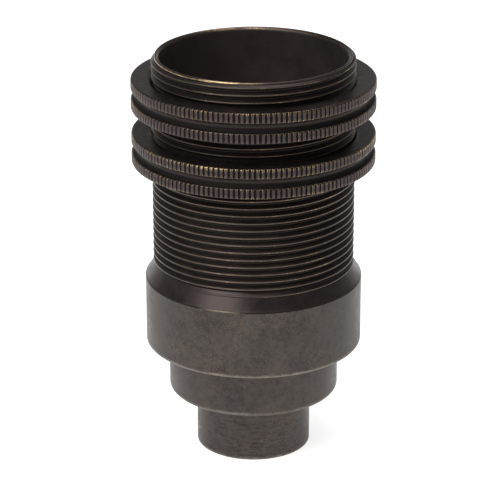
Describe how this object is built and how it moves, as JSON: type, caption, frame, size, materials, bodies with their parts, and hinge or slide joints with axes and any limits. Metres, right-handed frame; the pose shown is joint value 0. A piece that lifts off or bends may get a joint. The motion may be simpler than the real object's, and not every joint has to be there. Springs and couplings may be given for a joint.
{
  "type": "threaded lamp holder",
  "caption": "Turned brass lamp holder with a ceramic screw socket, a threaded skirt with two knurled shade rings and a stepped cap with a threaded entry.",
  "frame": {"origin": "centre of the face at the end of the neck, which the part stands on", "axes": "+Z along the holder's axis, from the entry neck towards the lamp; +Y towards the back of the neck, where the lock screw is; the terminals are on +X and -X"},
  "size_m": [0.0478, 0.0478, 0.0816],
  "materials": {
    "bronzed_cap": "chemically bronzed, satin",
    "bronzed_skirt": "dark bronzed, satin, worn on the thread crests",
    "bronzed_rings": "dark bronzed, satin, worn bright on the knurling",
    "black_steel": "blackened",
    "plated_screws": "zinc plated",
    "plain_steel": "ground",
    "ceramic": "unglazed",
    "glazed_ceramic": "glazed",
    "red_fibre": "vulcanised fibre",
    "plain_brass": "bright rolled or turned",
    "phosphor_bronze": "rolled strip"
  },
  "bodies": {
    "cap": {"stepped_cap": "bronzed_cap", "entry_lock_screw": "black_steel", "earth_screw": "plated_screws", "earth_washer": "plated_screws", "locating_pin": "plain_steel", "ceramic_base": "ceramic", "ceramic_socket": "glazed_ceramic", "ceramic_screws": "plated_screws", "ceramic_nuts": "plated_screws", "fibre_washer": "red_fibre", "screw_shell": "plain_brass", "shell_rivets": "plain_brass", "centre_contact_rivet": "plain_brass", "live_terminal": "plain_brass", "neutral_terminal": "plain_brass", "terminal_screws": "plated_screws"},
    "skirt": {"threaded_skirt": "bronzed_skirt"},
    "upper_ring": {"upper_shade_ring": "bronzed_rings"},
    "lower_ring": {"lower_shade_ring": "bronzed_rings"},
    "centre_contact": {"centre_contact_leaf": "phosphor_bronze", "centre_contact_button": "phosphor_bronze"}
  },
  "joints": [
    {"name": "skirt_unscrew", "type": "slide", "parent": "cap", "child": "skirt", "axis": [0, 0, 1], "range_m": [0, 0.045]},
    {"name": "upper_ring_travel", "type": "slide", "parent": "skirt", "child": "upper_ring", "axis": [0, 0, 1], "range_m": [-0.0024, 0.012]},
    {"name": "lower_ring_travel", "type": "slide", "parent": "skirt", "child": "lower_ring", "axis": [0, 0, 1], "range_m": [-0.0195, 0.0024]},
    {"name": "centre_contact_press", "type": "slide", "parent": "cap", "child": "centre_contact", "axis": [0, 0, -1], "range_m": [0, 0.0015], "stiffness_N_per_m": 2500, "deforming": ["centre_contact_leaf"]}
  ]
}
